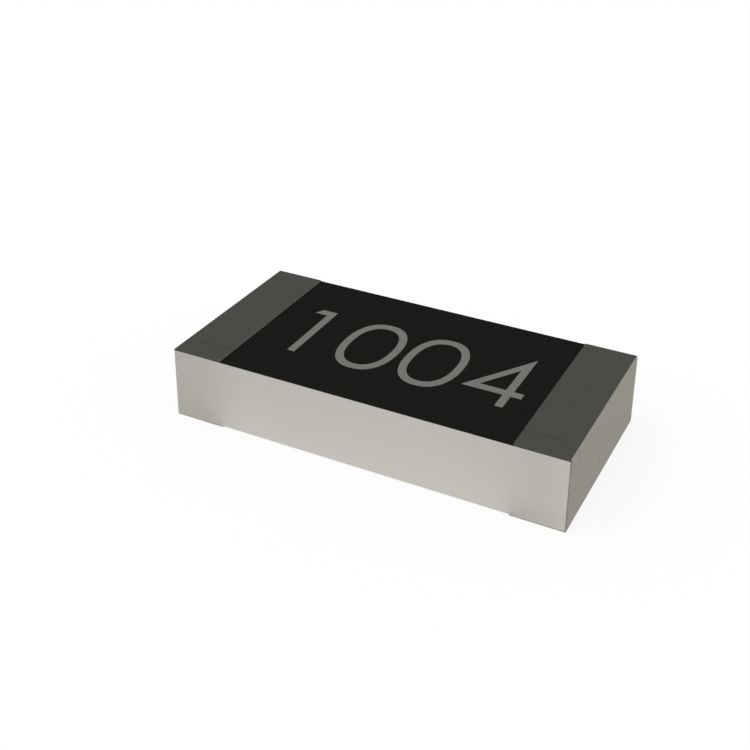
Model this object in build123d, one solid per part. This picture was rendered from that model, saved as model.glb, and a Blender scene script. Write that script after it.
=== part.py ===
from build123d import *
import os

# Thick-film chip resistor, case 1206: 3.20 x 1.56 x 0.59 mm over its plating.
# Lengths are in millimetres. X runs along the part from the left terminal to the right one, Y across
# it and Z up. The origin is the middle of the footprint, on the plane that the solder lands rest on.

# Ceramic substrate, a block of alumina
ceramic_length = 3.181
ceramic_width = 1.56
ceramic_thickness = 0.56

# Terminal, measured from the outside of the end plating
top_land_length = 0.416
bottom_land_length = 0.416

# Metal layers of a terminal, from the ceramic outwards
top_electrode_thickness = 0.008
back_electrode_thickness = 0.003
edge_electrode_thickness = 0.001
nickel_thickness = 0.0035
tin_thickness = 0.005

# Edge electrode, lapped over the outer ends of the top and the back electrode
edge_electrode_lap = 0.12

# Feathered inner end of a top electrode, under the coats
feather_length = 0.24
feather_tip_thickness = 0.001

# Resistive film between the top electrodes
film_width = 1.16
film_thickness = 0.0045
film_lap = 0.08

# Laser cut that trims the film to its value: in from the near side, then along the film
trim_kerf = 0.04
trim_depth = 0.62
trim_length = 0.46
trim_start_x = -0.26

# Glass coat over the film
glass_thickness = 0.002
glass_margin = 0.05

# Protective overcoat, measured over the highest layer that it covers
overcoat_thickness = 0.0015

# Heights of the layers, from the rest plane upwards
nickel_bottom_z = tin_thickness
back_electrode_bottom_z = nickel_bottom_z + nickel_thickness
ceramic_bottom_z = back_electrode_bottom_z + back_electrode_thickness
ceramic_middle_z = ceramic_bottom_z + ceramic_thickness / 2
ceramic_top_z = ceramic_bottom_z + ceramic_thickness
electrode_top_z = ceramic_top_z + top_electrode_thickness
nickel_top_z = electrode_top_z + nickel_thickness
tin_top_z = nickel_top_z + tin_thickness
film_top_z = ceramic_top_z + film_thickness
glass_top_z = film_top_z + glass_thickness
overcoat_top_z = max(electrode_top_z, glass_top_z) + overcoat_thickness

# Widths: the metals stop short of the ceramic's long sides, so that the plating closes over their edges
nickel_width = ceramic_width - 2 * tin_thickness
silver_width = nickel_width - 2 * nickel_thickness

# Places along X on the left terminal, from its end inwards
ceramic_end_x = -ceramic_length / 2
edge_outer_x = ceramic_end_x - edge_electrode_thickness
nickel_outer_x = edge_outer_x - nickel_thickness
tin_outer_x = nickel_outer_x - tin_thickness
top_land_inner_x = tin_outer_x + top_land_length
overcoat_end_x = top_land_inner_x - tin_thickness
feather_tip_x = overcoat_end_x + feather_length
film_end_x = feather_tip_x - film_lap
glass_end_x = film_end_x - glass_margin
bottom_land_inner_x = tin_outer_x + bottom_land_length
bottom_nickel_inner_x = bottom_land_inner_x - tin_thickness
back_electrode_inner_x = bottom_nickel_inner_x - nickel_thickness


def slab(x_from, x_to, width, z_from, z_to):
    """Flat block between two places along X and two heights, centred across the part."""
    block = Box(x_to - x_from, width, z_to - z_from)
    return Pos((x_from + x_to) / 2, 0, (z_from + z_to) / 2) * block


def opposite(piece):
    """The same piece on the right terminal: the left one after half a turn about Z."""
    return Rot(0, 0, 180) * piece


def rounded_ends(block, x_end, radius):
    """Plating grows evenly round a corner, so its outer corners have the plating's depth as radius."""
    corners = [e for e in block.edges().filter_by(Axis.Y) if abs(e.center().X - x_end) < radius / 10]
    return fillet(corners, radius)


def terminal_block(x_outer, x_top, x_bottom, width, z_bottom, z_top):
    """Everything within one layer of a terminal, the ceramic included: the upper half reaches in as far
    as the top land of that layer, the lower half as far as its bottom land."""
    upper = slab(x_outer, x_top, width, ceramic_middle_z, z_top)
    lower = slab(x_outer, x_bottom, width, z_bottom, ceramic_middle_z)
    return rounded_ends(upper + lower, x_outer, ceramic_end_x - x_outer)


def ceramic_substrate():
    return slab(ceramic_end_x, -ceramic_end_x, ceramic_width, ceramic_bottom_z, ceramic_top_z)


def top_electrode():
    """Silver pad on the top face, level over the land and feathered down under the coats."""
    outline = Polyline(
        (ceramic_end_x, ceramic_top_z),
        (feather_tip_x, ceramic_top_z),
        (feather_tip_x, ceramic_top_z + feather_tip_thickness),
        (overcoat_end_x, electrode_top_z),
        (ceramic_end_x, electrode_top_z),
        close=True,
    )
    return extrude(Plane.XZ * make_face(outline), amount=silver_width / 2, both=True)


def back_electrode():
    return slab(ceramic_end_x, back_electrode_inner_x, silver_width, back_electrode_bottom_z, ceramic_bottom_z)


def edge_electrode():
    """Thin channel that clips over the end, lapped on the top electrode and under the back electrode."""
    lap_end_x = ceramic_end_x + edge_electrode_lap
    z_bottom = back_electrode_bottom_z - edge_electrode_thickness
    z_top = electrode_top_z + edge_electrode_thickness
    outside = slab(edge_outer_x, lap_end_x, silver_width, z_bottom, z_top)
    outside = rounded_ends(outside, edge_outer_x, edge_electrode_thickness)
    return outside - slab(ceramic_end_x, lap_end_x, silver_width, back_electrode_bottom_z, electrode_top_z)


def laser_cut():
    """Path of the trimming laser: an L that starts outside the near side of the film."""
    start_y = -film_width / 2 - glass_margin
    turn_y = -film_width / 2 + trim_depth
    plunge = Box(trim_kerf, turn_y - start_y, glass_top_z - ceramic_top_z)
    run = Box(trim_length, trim_kerf, glass_top_z - ceramic_top_z)
    middle_z = (ceramic_top_z + glass_top_z) / 2
    plunge = Pos(trim_start_x, (start_y + turn_y) / 2, middle_z) * plunge
    run_x = trim_start_x - trim_kerf / 2 + trim_length / 2
    return plunge + Pos(run_x, turn_y - trim_kerf / 2, middle_z) * run


def untrimmed_film(electrodes):
    return slab(film_end_x, -film_end_x, film_width, ceramic_top_z, film_top_z) - electrodes


def untrimmed_glass(electrodes, film):
    """Glass over the film and past it on every side by the same margin, down on the ceramic."""
    width = film_width + 2 * glass_margin
    return slab(glass_end_x, -glass_end_x, width, ceramic_top_z, glass_top_z) - electrodes - film


def overcoat(electrodes, film, glass):
    """Black coat from one terminal to the other, as wide as the ceramic. It levels itself, and fills the
    laser cut."""
    coat = slab(overcoat_end_x, -overcoat_end_x, ceramic_width, ceramic_top_z, overcoat_top_z)
    return coat - electrodes - film - glass


def nickel_block():
    x_bottom = bottom_nickel_inner_x
    return terminal_block(nickel_outer_x, overcoat_end_x, x_bottom, nickel_width, nickel_bottom_z, nickel_top_z)


def nickel_barrier(ceramic, top, back, edge):
    """Nickel over all the silver that the coats leave bare, round its long edges and the inner end of the
    back electrode too."""
    return nickel_block() - ceramic - top - back - edge


def tin_plating(ceramic, top, coat):
    """Tin over the nickel, flush with the long sides of the ceramic. On top it grows past the nickel, on
    to the rim of the overcoat."""
    block = terminal_block(tin_outer_x, top_land_inner_x, bottom_land_inner_x, ceramic_width, 0, tin_top_z)
    return block - nickel_block() - ceramic - top - coat


def build():
    ceramic = ceramic_substrate()
    top_left = top_electrode()
    top_electrodes = [top_left, opposite(top_left)]
    whole_film = untrimmed_film(top_electrodes)
    cut = laser_cut()
    film = whole_film - cut
    glass = untrimmed_glass(top_electrodes, whole_film) - cut
    coat = overcoat(top_electrodes, film, glass)
    back_left = back_electrode()
    edge_left = edge_electrode()
    nickel_left = nickel_barrier(ceramic, top_left, back_left, edge_left)
    tin_left = tin_plating(ceramic, top_left, coat)
    nodes = {
        "ceramic_substrate": ceramic,
        "resistive_film": film,
        "glass_undercoat": glass,
        "overcoat": coat,
    }
    left_pieces = {
        "top_electrode": top_left,
        "back_electrode": back_left,
        "edge_electrode": edge_left,
        "nickel_barrier": nickel_left,
        "tin_plating": tin_left,
    }
    for name, piece in left_pieces.items():
        nodes[name + "_left"] = piece
        nodes[name + "_right"] = opposite(piece)
    return nodes


os.makedirs("parts", exist_ok=True)
for name, piece in build().items():
    export_step(piece, "parts/" + name + ".step")
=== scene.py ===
import math

import bpy
import numpy as np
from mathutils import Matrix, Vector
from mathutils.geometry import tessellate_polygon


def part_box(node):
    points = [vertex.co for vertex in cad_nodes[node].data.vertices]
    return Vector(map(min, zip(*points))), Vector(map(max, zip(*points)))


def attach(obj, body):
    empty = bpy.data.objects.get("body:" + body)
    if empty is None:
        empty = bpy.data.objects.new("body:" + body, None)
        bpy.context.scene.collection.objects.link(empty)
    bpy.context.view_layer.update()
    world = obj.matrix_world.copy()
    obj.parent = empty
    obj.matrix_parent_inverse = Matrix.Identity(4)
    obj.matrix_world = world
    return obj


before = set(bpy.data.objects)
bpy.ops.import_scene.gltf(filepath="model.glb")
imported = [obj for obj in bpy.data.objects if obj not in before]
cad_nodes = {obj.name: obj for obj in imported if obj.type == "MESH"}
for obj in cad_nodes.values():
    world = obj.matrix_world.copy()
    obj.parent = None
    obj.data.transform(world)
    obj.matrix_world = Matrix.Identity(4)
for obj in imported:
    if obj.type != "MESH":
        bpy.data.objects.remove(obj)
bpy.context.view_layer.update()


# Ceramic substrate
# A block of fired alumina that carries everything. It is snapped from a scored plate, so its long sides
# are bare, matt and faintly grainy. Their colour carries painted light and shade, standing in for light
# that scatters inside the ceramic: a painted glow above the stretch of underside that is open between
# the two bottom lands, and painted shade beside the lands.
MM = 0.001  # in metres; the lengths below are in millimetres, as in the part's source
ceramic_low, ceramic_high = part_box("ceramic_substrate")
tin_low, tin_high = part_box("tin_plating_left")


class Value:
    """An output socket of a node. Arithmetic on it adds Math nodes."""

    def __init__(self, nodes, socket):
        self.nodes = nodes
        self.socket = socket

    def math(self, operation, *others):
        return self.nodes.math(operation, self, *others)

    def __add__(self, other):
        return self.math("ADD", other)

    def __radd__(self, other):
        return self.math("ADD", other)

    def __sub__(self, other):
        return self.math("SUBTRACT", other)

    def __rsub__(self, other):
        return self.nodes.math("SUBTRACT", other, self)

    def __mul__(self, other):
        return self.math("MULTIPLY", other)

    def __rmul__(self, other):
        return self.math("MULTIPLY", other)

    def __truediv__(self, other):
        return self.math("DIVIDE", other)

    def __rtruediv__(self, other):
        return self.nodes.math("DIVIDE", other, self)

    def __abs__(self):
        return self.math("ABSOLUTE")


class Nodes:
    """The nodes of a material or a world."""

    def __init__(self, tree):
        self.tree = tree

    def node(self, kind, settings, inputs, output=0):
        """Adds a node, sets it up, then fills or links its sockets. Gives back one of its outputs."""
        made = self.tree.nodes.new(kind)
        for name, setting in settings.items():
            setattr(made, name, setting)
        self.fill(made, inputs)
        return Value(self, made.outputs[output])

    def fill(self, node, inputs):
        """Links or sets sockets by name or number. A plain colour has three parts here, and its socket
        wants an alpha of 1 as well."""
        for name, value in inputs.items():
            socket = node.inputs[name]
            if isinstance(value, Value):
                self.tree.links.new(value.socket, socket)
            elif socket.type == "RGBA":
                socket.default_value = (*value, 1.0)
            else:
                socket.default_value = value

    def math(self, operation, *operands):
        return self.node("ShaderNodeMath", {"operation": operation}, dict(enumerate(operands)))

    def ramp(self, value, start, end, low=0.0, high=1.0):
        """Runs smoothly from low to high while the value runs from start to end."""
        settings = {"interpolation_type": "SMOOTHSTEP"}
        inputs = {"Value": value, "From Min": start, "From Max": end, "To Min": low, "To Max": high}
        return self.node("ShaderNodeMapRange", settings, inputs)


class Finish(Nodes):
    """A material with a Principled shader at its end."""

    def __init__(self, name):
        self.material = bpy.data.materials.new(name)
        self.material.use_nodes = True
        super().__init__(self.material.node_tree)
        self.shader = self.tree.nodes["Principled BSDF"]

    def place(self):
        """Where a point of the surface lies in the part's own frame, in millimetres."""
        metres = self.node("ShaderNodeTexCoord", {}, {}, output="Object")
        return self.scaled(metres, 1 / MM)

    def parts(self, vector):
        """The three parts of a vector."""
        split = self.node("ShaderNodeSeparateXYZ", {}, {0: vector}).socket.node
        return [Value(self, socket) for socket in split.outputs]

    def facing(self):
        """How far the surface faces along X, Y and Z, whichever way round: 1 is straight along it."""
        normal = self.node("ShaderNodeTexCoord", {}, {}, output="Normal")
        return [abs(part) for part in self.parts(normal)]

    def grain(self, place, size, detail=2.0, roughness=0.5, shift=0.0):
        """Soft random grain from 0 to 1 about 0.5, with lumps of the given size in millimetres. Another
        shift gives another grain of the same kind."""
        settings = {"noise_dimensions": "4D"}
        inputs = {"Vector": place, "W": shift, "Scale": 1 / size, "Detail": detail, "Roughness": roughness}
        return self.node("ShaderNodeTexNoise", settings, inputs)

    def cells(self, place, size):
        """Distance to the nearest of points strewn about the given size apart, as a share of it."""
        inputs = {"Vector": place, "Scale": 1 / size}
        return self.node("ShaderNodeTexVoronoi", {"feature": "F1"}, inputs)

    def blend(self, factor, first, second):
        """Colour mix: the first colour where the factor is 0, the second where it is 1."""
        inputs = {0: factor, 6: first, 7: second}
        return self.node("ShaderNodeMix", {"data_type": "RGBA"}, inputs, output=2)

    def scaled(self, colour, tone):
        """A colour or a vector times a number."""
        inputs = {0: colour, "Scale": tone}
        return self.node("ShaderNodeVectorMath", {"operation": "SCALE"}, inputs)

    def relief(self, height, depth):
        """Bump of the given depth in millimetres for a height that runs from 0 to 1."""
        inputs = {"Height": height, "Strength": 1.0, "Distance": depth * MM}
        return self.node("ShaderNodeBump", {}, inputs)

    def finish(self, **sockets):
        """Fills the Principled shader's sockets, named with underscores for spaces."""
        self.fill(self.shader, {name.replace("_", " "): value for name, value in sockets.items()})
        return self.material


def dress(material, *names):
    """Gives a carried-over node its finish."""
    for name in names:
        slots = cad_nodes[name].data.materials
        slots.clear()
        slots.append(material)


# The first two colours are the one ceramic under painted shade and under painted glow.
ceramic_painted_shade = (0.3504, 0.3337, 0.3025)
ceramic_painted_glow = (0.4957, 0.4795, 0.4403)
# A warmer painted light for the right end of the side.
ceramic_painted_warm_light = (0.5006, 0.4830, 0.4321)
painted_warm_light_x = (1.167, 1.9)
half_length = abs(tin_low.x) / MM
open_half = abs(tin_high.x) / MM
ceramic_bottom_z = ceramic_low.z / MM
ceramic_top_z = ceramic_high.z / MM
painted_glow_share = (-0.3, 1.0)
painted_rise_along = 0.05
painted_fall_upwards = 0.056
foot_top_z = 0.22
foot_painted_light = 0.035
foot_shade_x = (0.75, 1.2)
foot_painted_shade = 0.065
foot_painted_slope = 0.015
shoulder_middle_x = 0.13
shoulder_x = 1.08
shoulder_reach = 0.38
shoulder_painted_light = 0.028
rim_top_z = 0.1
rim_x = (1.15, 1.3)
rim_painted_light = 0.06


def fired_alumina():
    """The painted glow follows the share of the half turn round a point of the side that the open stretch
    of the bottom edge takes up: the difference of the two angles towards its ends, over pi. It blends
    the colour from painted shade to painted glow. Painted light rises by a twentieth along the part,
    turns a little warmer at its right end, and falls by about as much from the bottom to the top. Low
    down, the foot carries a little painted light in the middle and painted shade beside the lands. A
    shoulder is a soft band of painted light about the inner end of each land, and the rim is a strip of
    painted light just above the bottom lands."""
    f = Finish("fired_alumina")
    place = f.place()
    x, y, z = f.parts(place)
    height = z - ceramic_bottom_z
    # Painted glow: light that the open underside would send into the side, painted into the colour.
    right_angle = (x + open_half).math("ARCTAN2", height)
    left_angle = (x - open_half).math("ARCTAN2", height)
    glow = f.ramp((right_angle - left_angle) / math.pi, *painted_glow_share)
    lumps = f.grain(place, 0.22, detail=3.0, shift=1.3)
    grain = f.grain(place, 0.012, detail=3.0, roughness=0.6, shift=4.1)
    pits = f.ramp(f.grain(place, 0.02, detail=1.0, shift=8.2), 0.69, 0.78)
    colour = f.blend(glow, ceramic_painted_shade, ceramic_painted_glow)
    # Painted light, warmer, towards the right end.
    colour = f.blend(f.ramp(x, *painted_warm_light_x), colour, ceramic_painted_warm_light)
    # Painted light that rises along the part and falls towards the top.
    along = 1 + f.ramp(x, -half_length, half_length) * painted_rise_along
    upwards = 1 - f.ramp(z, 0.0, ceramic_top_z) * painted_fall_upwards
    # Painted light low in the middle and painted shade low beside the lands.
    painted_foot_light_and_shade = foot_painted_light - f.ramp(abs(x), *foot_shade_x) * foot_painted_shade - x * foot_painted_slope
    foot = 1 + f.ramp(z, foot_top_z, 0.0) * painted_foot_light_and_shade
    # A band of painted light about the inner end of each land.
    from_shoulder = abs(abs(x - shoulder_middle_x) - shoulder_x)
    shoulder = 1 + f.ramp(from_shoulder, shoulder_reach, 0.0) * shoulder_painted_light
    # A strip of painted light just above the bottom lands.
    rim = 1 + f.ramp(z, rim_top_z, 0.0) * f.ramp(abs(x), *rim_x) * rim_painted_light
    speckle = 1 + (lumps - 0.5) * 0.03 + (grain - 0.5) * 0.07 - pits * 0.05
    return f.finish(
        Base_Color=f.scaled(colour, along * upwards * foot * shoulder * rim * speckle),
        Roughness=0.62 + (grain - 0.5) * 0.2 + pits * 0.1,
        Normal=f.relief(grain * 0.6 + lumps * 0.4 - pits * 0.5, 0.0012),
    )


dress(fired_alumina(), "ceramic_substrate")


# Back and top electrodes
# Silver paste, screen-printed on the under side and the top of the ceramic at each end and fired: the
# back ones are level, the top ones thin out inwards. The fired surface is matt, pale and porous.
silver_colour = (0.72, 0.71, 0.68)
silver_shadow = (0.46, 0.45, 0.42)


def fired_silver():
    """Pale metal with darker, rougher pores and a faint cloudiness."""
    f = Finish("fired_silver")
    place = f.place()
    pores = f.ramp(f.grain(place, 0.008, detail=2.0, shift=2.7), 0.56, 0.72)
    cloud = f.grain(place, 0.09, detail=2.0, shift=6.4)
    colour = f.blend(pores, silver_colour, silver_shadow)
    return f.finish(
        Base_Color=f.scaled(colour, 0.94 + cloud * 0.12),
        Metallic=1.0,
        Roughness=0.42 + pores * 0.25 + cloud * 0.08,
        Normal=f.relief(1 - pores, 0.0008),
    )


dress(
    fired_silver(),
    "back_electrode_left",
    "back_electrode_right",
    "top_electrode_left",
    "top_electrode_right",
)


# Resistive film
# Ruthenium oxide and glass, printed as a paste over the tips of both top electrodes and fired. It is a
# dull near-black with paler glassy specks. A laser has cut an L into it to bring it to its value.
film_colour = (0.055, 0.057, 0.06)
film_speck = (0.16, 0.165, 0.16)


def oxide_film():
    """Near-black with paler, glossier specks of glass, and the faint marks of the printing mesh."""
    f = Finish("oxide_film")
    place = f.place()
    specks = f.ramp(f.grain(place, 0.01, detail=2.0, shift=3.3), 0.6, 0.74)
    mesh_marks = f.grain(place, 0.06, detail=1.0, shift=9.1)
    colour = f.blend(specks, film_colour, film_speck)
    return f.finish(
        Base_Color=f.scaled(colour, 0.9 + mesh_marks * 0.2),
        Roughness=0.5 - specks * 0.2,
        Normal=f.relief(specks * 0.5 + mesh_marks * 0.5, 0.0009),
    )


dress(oxide_film(), "resistive_film")


# Glass undercoat
# A thin glaze of green-tinted glass, printed over the film and fired before trimming, so the laser cut
# goes through it too. It is clear, smooth and has a few trapped bubbles.
glaze_colour = (0.3, 0.5, 0.35)
bubble_colour = (0.55, 0.68, 0.58)


def green_glaze():
    """See-through green. Each bubble is a paler, denser spot about one of the strewn points."""
    f = Finish("green_glaze")
    place = f.place()
    bubbles = f.ramp(f.cells(place, 0.05), 0.16, 0.08)
    ripple = f.grain(place, 0.12, detail=1.0, shift=5.5)
    return f.finish(
        Base_Color=f.blend(bubbles, glaze_colour, bubble_colour),
        Roughness=0.1 + ripple * 0.1,
        Alpha=0.6 + bubbles * 0.15,
        Normal=f.relief(ripple, 0.0006),
    )


dress(green_glaze(), "glass_undercoat")


# Overcoat
# A black resin coat, printed over the glass from one terminal to the other and cured. It levels itself
# into a matt, even skin with a very fine orange-peel, and fills the laser cut.
coat_colour = (0.0109, 0.0108, 0.0096)


def black_resin():
    """An even near-black with a soft orange-peel and the fine grain of the filler."""
    f = Finish("black_resin")
    place = f.place()
    peel = f.grain(place, 0.05, detail=2.0, shift=2.2)
    filler = f.grain(place, 0.009, detail=2.0, roughness=0.6, shift=7.4)
    tone = 1 + (peel - 0.5) * 0.12 + (filler - 0.5) * 0.22
    height = peel * 0.7 + filler * 0.3
    return f.finish(
        Base_Color=f.scaled(coat_colour, tone),
        Roughness=0.7 + (filler - 0.5) * 0.2,
        Specular_IOR_Level=0.0,
        Normal=f.relief(height, 0.0008),
    )


dress(black_resin(), "overcoat")


# Value code
# Four plain figures that give the resistance: three digits of value and a count of zeros. They are
# printed on the overcoat in pale grey ink, two microns thick, with edges that the ink rounds off.
coat_top_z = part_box("overcoat")[1].z / MM
ink_colour = (0.1687, 0.1655, 0.1534)
ink_thickness = 0.002
ink_key = 0.0004
edge_steps = 4
figure_bottom = -0.3804
figure_top = 0.3221
stem_width = 0.0624
zero_corners = 120
zero_power = 2.31
first_zero_x, second_zero_x = -0.2753, 0.2576


def add_piece(name, points, faces):
    """A new piece at the origin, with its place in its mesh."""
    mesh = bpy.data.meshes.new(name)
    mesh.from_pydata(points.tolist(), [], faces)
    piece = bpy.data.objects.new(name, mesh)
    bpy.context.scene.collection.objects.link(piece)
    return piece


def ring_quads(rings, corners):
    """Quads between closed rings of points: a point, the next one on its ring, then the same two of the
    next ring the other way round."""
    ring, corner = np.meshgrid(np.arange(rings - 1), np.arange(corners), indexing="ij")
    here = ring * corners + corner
    there = ring * corners + (corner + 1) % corners
    return np.stack([here, there, there + corners, here + corners], axis=-1).reshape(-1, 4)


def inset(outline, distances):
    """Each corner moves along its mitre: the sum of the two sides' normals over one plus their dot
    product, times the distance. The outline runs anticlockwise, or clockwise round a hole. The result
    has one outline for each distance."""
    after = np.roll(outline, -1, axis=0) - outline
    after /= np.linalg.norm(after, axis=1, keepdims=True)
    normal_after = np.stack([-after[:, 1], after[:, 0]], axis=1)
    normal_before = np.roll(normal_after, 1, axis=0)
    spread = 1 + np.sum(normal_after * normal_before, axis=1, keepdims=True)
    return outline + distances[:, None, None] * (normal_before + normal_after) / spread


def ink_body(outlines):
    """A flat film of ink within the outlines, a closed solid. Its edge is a quarter circle carried along
    each outline: the inset is the ink's thickness times one minus the cosine, the height its sine. The
    edge goes on straight down by the key, into the coat. The flat top and the flat bottom are cut into
    triangles, and each is turned round where its signed area says that it faces inwards."""
    turn = np.linspace(0, math.pi / 2, edge_steps)
    insets = np.concatenate([[0], ink_thickness * (1 - np.cos(turn))])
    heights = np.concatenate([[-ink_key], ink_thickness * np.sin(turn)])
    points, quads, triangles, bottoms, tops, first = [], [], [], [], [], 0
    for outline in outlines:
        count = len(outline)
        edge = np.empty((len(insets), count, 3))
        edge[:, :, :2] = inset(outline, insets)
        edge[:, :, 2] = heights[:, None]
        points.append(edge.reshape(-1, 3))
        quads.append(first + ring_quads(len(insets), count))
        bottoms.append(first + np.arange(count))
        first += len(insets) * count
        tops.append(first - count + np.arange(count))
    points = np.concatenate(points)
    for loops, side in ((tops, 1), (bottoms, -1)):
        flat = tessellate_polygon([points[loop].tolist() for loop in loops])
        corners = np.concatenate(loops)[np.array(flat)]
        a, b, c = (points[corners[:, k], :2] for k in range(3))
        area = (b - a)[:, 0] * (c - a)[:, 1] - (b - a)[:, 1] * (c - a)[:, 0]
        triangles.append(np.where((area * side > 0)[:, None], corners, corners[:, ::-1]))
    return points, np.concatenate(quads), np.concatenate(triangles)


def figure_one():
    """A stem with a flag that falls away to the left at a slant."""
    right = -0.7668
    left = right - stem_width
    flag = 0.1302
    flag_drop = 0.0705
    flag_reach = 0.1050
    outer = [
        (left, figure_bottom),
        (right, figure_bottom),
        (right, figure_top),
        (right - flag, figure_top),
        (left - flag_reach, figure_top - flag_drop),
        (left, figure_top - flag_drop),
    ]
    return [np.array(outer)]


def superellipse(middle, half_width, half_height):
    """Half width times the cosine and half height times the sine, each to the power of two over the
    zero's power with its sign kept. The middle of a zero is the middle of the figures' height."""
    turn = np.arange(zero_corners) * 2 * math.pi / zero_corners
    cosine, sine = np.cos(turn), np.sin(turn)
    x = half_width * np.sign(cosine) * np.abs(cosine) ** (2 / zero_power)
    y = half_height * np.sign(sine) * np.abs(sine) ** (2 / zero_power)
    return np.stack([middle + x, y + (figure_bottom + figure_top) / 2], axis=1)


def figure_zero(middle):
    """A ring between two superellipses, the inner one run the other way round."""
    half_width = 0.2351
    half_height = 0.3658
    side = 0.0623
    crown = 0.0697
    outer = superellipse(middle, half_width, half_height)
    inner = superellipse(middle, half_width - side, half_height - crown)
    return [outer, inner[::-1]]


def figure_four():
    """A stem, a bar across it, and a slanted stroke from the bar's left end to the head of the stem."""
    stem_left = 0.8850
    stem_right = stem_left + stem_width
    bar_bottom = -0.2181
    bar_top = -0.1478
    bar_right = 1.0278
    apex = 0.3605
    slant = 1.487
    outer_tip = stem_right - (apex - bar_bottom) / slant
    inner_top = 0.1605
    inner_tip = stem_left - (inner_top - bar_top) / slant
    outer = [
        (stem_left, figure_bottom),
        (stem_right, figure_bottom),
        (stem_right, bar_bottom),
        (bar_right, bar_bottom),
        (bar_right, bar_top),
        (stem_right, bar_top),
        (stem_right, apex),
        (outer_tip, bar_bottom),
        (stem_left, bar_bottom),
    ]
    inner = [(inner_tip, bar_top), (stem_left, inner_top), (stem_left, bar_top)]
    return [np.array(outer), np.array(inner)]


def printed_value():
    """The ink bodies of the four figures side by side, laid on the coat."""
    points, faces, first = [], [], 0
    for outlines in (figure_one(), figure_zero(first_zero_x), figure_zero(second_zero_x), figure_four()):
        figure_points, quads, triangles = ink_body(outlines)
        points.append(figure_points)
        faces += (quads + first).tolist() + (triangles + first).tolist()
        first += len(figure_points)
    points = np.concatenate(points) + [0, 0, coat_top_z]
    return add_piece("printed_value", points * MM, faces)


def pale_ink():
    """Grey with the fine grain of its pigment and a faint cloudiness."""
    f = Finish("pale_ink")
    place = f.place()
    pigment = f.grain(place, 0.01, detail=2.0, roughness=0.6, shift=1.9)
    cloud = f.grain(place, 0.12, detail=1.0, shift=3.8)
    tone = 1 + (pigment - 0.5) * 0.14 + (cloud - 0.5) * 0.05
    return f.finish(
        Base_Color=f.scaled(ink_colour, tone),
        Roughness=0.7 + (pigment - 0.5) * 0.2,
        Specular_IOR_Level=0.0,
        Normal=f.relief(pigment, 0.0005),
    )


value_code = printed_value()
value_code.data.materials.append(pale_ink())
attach(value_code, "root")


# Edge electrodes
# A skin of nickel-chrome, one micron thick, sputtered round each end to join the top and the back
# electrode. It is a smooth, greyish metal that shows the grain of what lies under it.
edge_metal_colour = (0.5, 0.5, 0.5)


def sputtered_skin():
    """Smooth grey metal with a fine grain."""
    f = Finish("sputtered_skin")
    place = f.place()
    grain = f.grain(place, 0.01, detail=3.0, shift=4.6)
    return f.finish(
        Base_Color=f.scaled(edge_metal_colour, 0.95 + grain * 0.1),
        Metallic=1.0,
        Roughness=0.28 + grain * 0.15,
        Normal=f.relief(grain, 0.0004),
    )


dress(sputtered_skin(), "edge_electrode_left", "edge_electrode_right")


# Nickel barriers
# Nickel, barrel-plated over all the silver of a terminal to keep the solder from dissolving it. It is
# warm grey and satin, with small nodules.
nickel_colour = (0.62, 0.6, 0.55)


def plated_nickel():
    """Warm grey metal. Each nodule is highest at one of the strewn points and falls away from it."""
    f = Finish("plated_nickel")
    place = f.place()
    nodules = f.cells(place, 0.014)
    cloud = f.grain(place, 0.1, detail=2.0, shift=8.8)
    return f.finish(
        Base_Color=f.scaled(nickel_colour, 0.94 + cloud * 0.12),
        Metallic=1.0,
        Roughness=0.34 + cloud * 0.12,
        Normal=f.relief(1 - nodules, 0.0008),
    )


dress(plated_nickel(), "nickel_barrier_left", "nickel_barrier_right")


# Tin platings
# Matt tin, barrel-plated over the nickel: the outer skin of each terminal, and what the solder wets. The
# level lands carry painted shade, a dark, even grey, and the ends a lighter grey of the same tin. A broken
# dark hairline runs along both lands, and a few short upright dark marks lie on the right end.
# The lands' tops are painted in shade: the same tin, painted darker than the ends.
land_painted_shade = (0.0677, 0.0667, 0.0608)
end_colour = (0.2542, 0.2374, 0.1994)
crest_painted_highlight = (0.310, 0.296, 0.262)
# The flank is painted lighter, as lit from the front, with painted shade below the ceramic and at the
# right corner.
flank_painted_light = (0.400, 0.388, 0.356)
low_flank_painted_shade = (0.392, 0.378, 0.344)
corner_painted_shade = (0.200, 0.192, 0.175)
riser_painted_light = (0.235, 0.230, 0.212)
land_z = tin_high.z / MM
side_y = tin_high.y / MM
faces_along = (0.6, 0.95)
seam_width = 0.001
end_x = (half_length - 0.04, half_length - 0.01)
riser_x = (1.3, 1.2)
corner_x = (half_length - 0.012, half_length - 0.007)
land_limit_x = (half_length - 0.0065, half_length - 0.0095)
crest_x = (half_length - 0.007, half_length - 0.005)
crest_z = (land_z - 0.011, land_z - 0.007)
end_fall_y = (-0.6, 0.8)
end_painted_shade = 0.03
far_edge_y = (side_y - 0.035, side_y - 0.005)
far_edge_painted_highlight = 0.2
contact_z = (0.006, 0.001)
contact_painted_shadow = 0.3
hairline_y = -0.588
hairline_width = 0.012
mark_core = 0.001
mark_fade = 0.6
land_marks = (
    (-1.405, 0.105, 0.75),
    (-1.240, 0.100, 0.48),
    (1.180, 0.050, 0.70),
    (1.255, 0.090, 0.40),
    (1.395, 0.080, 0.72),
    (1.480, 0.045, 0.20),
)
mark_width = 0.013
mark_lean = 0.2
mark_depth = 0.36
end_marks = (
    (-0.611, 0.516, 0.100, 0.80),
    (-0.085, 0.188, 0.030, 1.00),
    (-0.077, 0.122, 0.026, 0.85),
    (-0.339, 0.292, 0.024, 0.75),
    (-0.320, 0.323, 0.012, 0.50),
)


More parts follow.
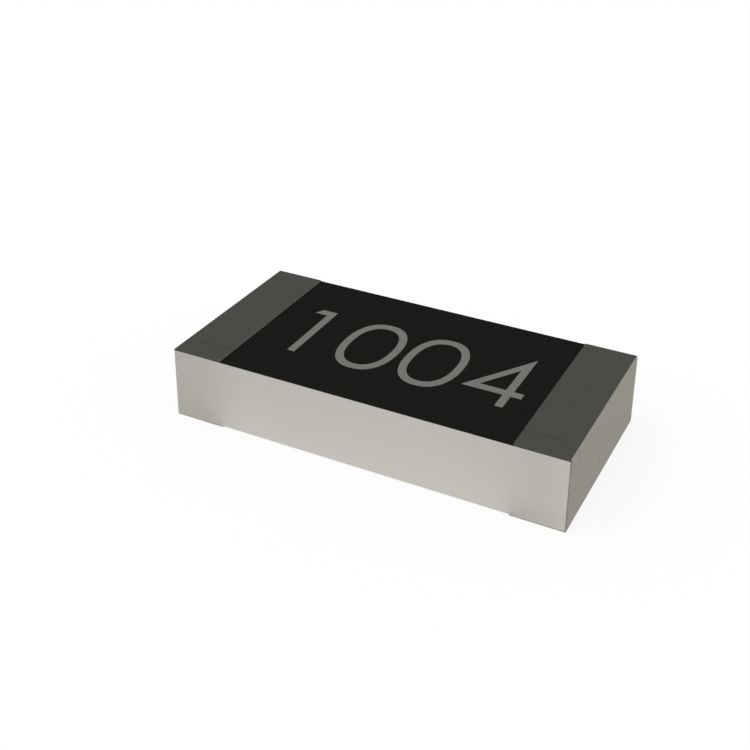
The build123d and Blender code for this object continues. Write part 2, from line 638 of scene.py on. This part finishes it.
def matt_tin():
    """A mark is a band about a line: full on the line, gone at the band's width to either side, and
    fading over the last two fifths towards its ends. Marks are given by their middle, an X on the
    lands, a Y and a Z on the right end, then half their length and their strength. The lands' tops
    carry painted shade. The crest is the rounded corner between the right land and its end, with a
    painted highlight a little paler than the end. An end carries painted shade slightly towards the
    back, and a painted highlight along its far edge. The flank is the plating's edge on the long side,
    with painted light: above the ceramic it carries the land's painted shade, below the ceramic a little
    painted shade, painted shade at the right corner and a painted shadow where it meets the table. The
    riser is the inner end of a land, with painted light."""
    f = Finish("matt_tin")
    place = f.place()
    x, y, z = f.parts(place)
    along_x, along_y, along_z = (f.ramp(part, *faces_along) for part in f.facing())
    above_ceramic = f.ramp(z, ceramic_top_z - seam_width, ceramic_top_z)
    below_ceramic = f.ramp(z, ceramic_bottom_z + seam_width, ceramic_bottom_z)
    end = f.ramp(abs(x), *end_x) * along_x
    riser = f.ramp(abs(x), *riser_x) * along_x
    crystals = f.grain(place, 0.007, detail=3.0, roughness=0.6, shift=5.2)
    cloud = f.grain(place, 0.16, detail=2.0, shift=9.7)
    on_hairline = f.ramp(abs(y - hairline_y), hairline_width, mark_core) * along_z
    marks = 0
    for mark_x, half, strength in land_marks:
        marks = marks + on_hairline * f.ramp(abs(x - mark_x), half, half * mark_fade) * strength
    right_end = f.ramp(x, *end_x) * along_x
    for mark_y, mark_z, half, strength in end_marks:
        beside = abs(y - mark_y + (z - mark_z) * mark_lean)
        band = f.ramp(beside, mark_width, mark_core) * f.ramp(abs(z - mark_z), half, half * mark_fade)
        marks = marks + band * right_end * strength
    # Painted light on the flank, with painted shade below the ceramic and at the right corner.
    flank = f.blend(below_ceramic, flank_painted_light, low_flank_painted_shade)
    flank = f.blend(f.ramp(x, *corner_x), flank, corner_painted_shade)
    # Painted highlight on the rounded corner between the right land and its end.
    crest = f.ramp(x, *crest_x) * f.ramp(z, *crest_z)
    colour = f.blend(along_y, f.blend(crest, end_colour, crest_painted_highlight), flank)
    # Painted shade on the lands' tops and on the flank above the ceramic.
    land = along_z * f.ramp(x, *land_limit_x)
    colour = f.blend(land.math("MAXIMUM", above_ceramic * along_y), colour, land_painted_shade)
    # Painted light on the inner end of each land.
    colour = f.blend(riser, colour, riser_painted_light)
    # Painted shade on the ends, growing towards the back.
    painted_shade_towards_back = 1 - f.ramp(y, *end_fall_y) * end * end_painted_shade
    # Painted highlight along the far edge of each end.
    far_edge_highlight = 1 + f.ramp(y, *far_edge_y) * end * far_edge_painted_highlight
    # Painted shadow on the flank where it meets the table.
    contact = 1 - f.ramp(z, *contact_z) * along_y * contact_painted_shadow
    speckle = 1 + (crystals - 0.5) * 0.08 + (cloud - 0.5) * 0.04 - marks * mark_depth
    return f.finish(
        Base_Color=f.scaled(colour, painted_shade_towards_back * far_edge_highlight * contact * speckle),
        Metallic=end,
        Roughness=0.5 + (crystals - 0.5) * 0.2 + (cloud - 0.5) * 0.08,
        Specular_IOR_Level=0.0,
        Normal=f.relief(crystals * 0.7 + cloud * 0.3 - marks, 0.0006),
    )


dress(matt_tin(), "tin_plating_left", "tin_plating_right")


# Table top
# A plain white table, level with the solder lands. Seen directly or in a reflection it is white, with
# part of its own shading kept, so that the part's soft shadow shows.
table_radii = (2, 10, 50, 400)
table_corners = 96
table_colour = (0.94, 0.94, 0.94)
own_light = 0.85
white = (1.0, 1.0, 1.0)


def seen_directly(nodes):
    """1 for rays from the camera, and for those that a gloss or a clear surface sends on."""
    rays = nodes.node("ShaderNodeLightPath", {}, {}).socket.node.outputs
    camera_ray, glossy_ray, through_ray = (
        Value(nodes, rays[name]) for name in ("Is Camera Ray", "Is Glossy Ray", "Is Transmission Ray")
    )
    return camera_ray.math("MAXIMUM", glossy_ray).math("MAXIMUM", through_ray)


def white_table():
    """White paint, mixed with a plain white glow where it is seen directly."""
    f = Finish("white_table")
    f.finish(Base_Color=table_colour, Roughness=0.9, Specular_IOR_Level=0.0)
    painted = Value(f, f.shader.outputs[0])
    glowing = f.node("ShaderNodeEmission", {}, {"Color": white, "Strength": 1.0})
    mixed = f.node("ShaderNodeMixShader", {}, {0: seen_directly(f) * own_light, 1: painted, 2: glowing})
    f.fill(f.tree.nodes["Material Output"], {"Surface": mixed})
    return f.material


def table_top():
    """A level disc: rings of points at growing radii, joined by quads, with one face in the middle. The
    quads are turned round, because the rings grow outwards and their upper side has to face up."""
    around = np.arange(table_corners) * 2 * math.pi / table_corners
    x, y = np.outer(table_radii, np.cos(around)), np.outer(table_radii, np.sin(around))
    points = np.stack([x, y, np.zeros_like(x)], axis=-1).reshape(-1, 3)
    quads = ring_quads(len(table_radii), table_corners)[:, ::-1]
    return add_piece("table_top", points * MM, [*quads.tolist(), list(range(table_corners))])


table = table_top()
table.data.materials.append(white_table())


# Light
# An even white room, and one broad soft lamp from the front left, so that the long side is lit a little
# more than the right end.
room_light = 0.85
lamp_light = 0.82
lamp_azimuth = math.radians(-38)
lamp_elevation = math.radians(48)
lamp_spread = math.radians(50)


def direction(azimuth, elevation):
    """The way out from the part: the azimuth turns from the front, -Y, towards the right end, +X."""
    level = math.cos(elevation)
    return Vector((math.sin(azimuth) * level, -math.cos(azimuth) * level, math.sin(elevation)))


def white_room():
    """Lights the part at its own level, and is plain white where it is seen."""
    world = bpy.data.worlds.new("white_room")
    world.use_nodes = True
    nodes = Nodes(world.node_tree)
    strength = room_light + seen_directly(nodes) * (1 - room_light)
    nodes.fill(world.node_tree.nodes["Background"], {"Color": white, "Strength": strength})
    return world


bpy.context.scene.world = white_room()

lamp = bpy.data.objects.new("soft_lamp", bpy.data.lights.new("soft_lamp", "SUN"))
lamp.data.energy = lamp_light
lamp.data.angle = lamp_spread
lamp.rotation_euler = direction(lamp_azimuth, lamp_elevation).to_track_quat("Z", "Y").to_euler()
bpy.context.scene.collection.objects.link(lamp)


# Camera
# It looks from the right of the front, down on the part, and stands higher than a camera that aims at
# the part's middle would. The frame is shifted down for it, as the photograph's perspective asks.
camera_azimuth = math.radians(26.930)
camera_elevation = math.radians(23.643)
camera_roll = math.radians(0.489)
camera_distance = 9.4979
camera_right = -0.2289
camera_up = 1.5150
frame_pixels = 750
focal_pixels = 1205.9
frame_shift_pixels = -150
sensor_width = 36
clip_near = 0.5
clip_far = 2 * table_radii[-1]

back = direction(camera_azimuth, camera_elevation)
level_right = Vector((math.cos(camera_azimuth), math.sin(camera_azimuth), 0))
level_up = back.cross(level_right)
right = math.cos(camera_roll) * level_right + math.sin(camera_roll) * level_up
up = math.cos(camera_roll) * level_up - math.sin(camera_roll) * level_right
stand = (back * camera_distance + right * camera_right + up * camera_up) * MM
camera = bpy.data.objects.new("camera", bpy.data.cameras.new("camera"))
camera.data.sensor_width = sensor_width
camera.data.lens = focal_pixels * sensor_width / frame_pixels
camera.data.shift_y = frame_shift_pixels / frame_pixels
camera.data.clip_start = clip_near * MM
camera.data.clip_end = clip_far * MM
camera.matrix_world = Matrix.Translation(stand) @ Matrix((right, up, back)).transposed().to_4x4()
bpy.context.scene.collection.objects.link(camera)
bpy.context.scene.camera = camera
bpy.context.scene.view_settings.view_transform = "Standard"
